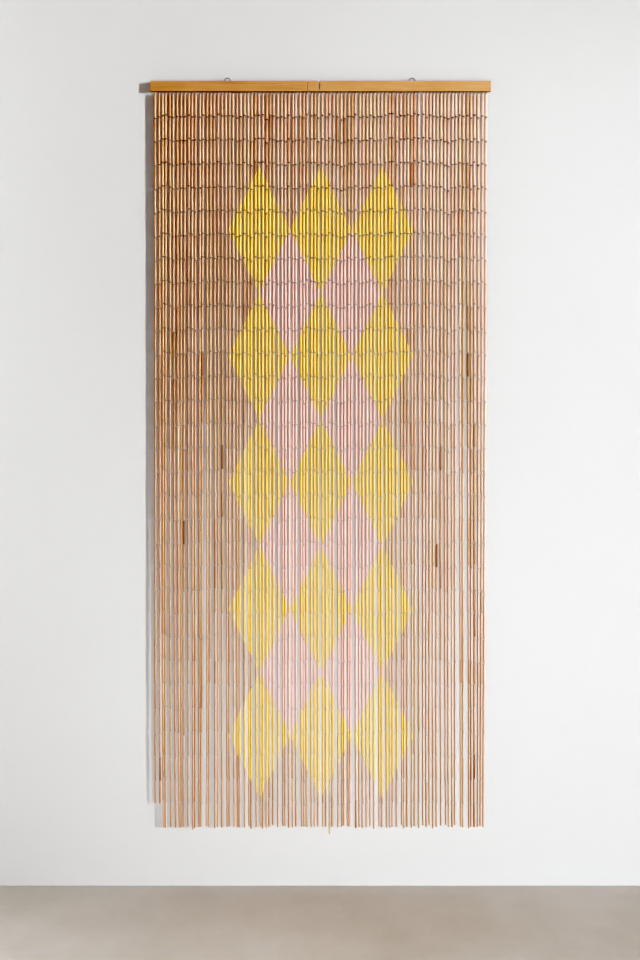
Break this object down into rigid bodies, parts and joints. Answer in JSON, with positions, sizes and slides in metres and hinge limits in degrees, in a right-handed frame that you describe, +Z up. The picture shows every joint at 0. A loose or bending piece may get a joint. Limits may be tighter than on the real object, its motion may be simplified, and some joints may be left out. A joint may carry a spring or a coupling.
{
  "type": "bead curtain and header bar",
  "caption": "Door curtain of slim bamboo tubes threaded end to end on hanging strands below a flat wooden header bar, with wire loops on top to hang it by.",
  "frame": {"origin": "midway between the two hanger loops, on the line under their crowns where hooks or nails bear; the curtain hangs below it", "axes": "+Z up along the hanging strands, +X along the header bar to the viewer's right, -Y towards the viewer and +Y towards the wall"},
  "size_m": [0.9, 0.012, 1.9998],
  "materials": {
    "honey_wood": "stained and satin varnished",
    "steel_wire": "plain drawn wire",
    "bamboo": "natural bamboo, cut and lightly polished, with a matt painted pattern"
  },
  "bodies": {
    "root": {"header_bar_left": "honey_wood", "header_bar_right": "honey_wood", "hanger_loop_left": "steel_wire", "hanger_loop_right": "steel_wire", "bamboo_strands": "bamboo"}
  },
  "joints": []
}
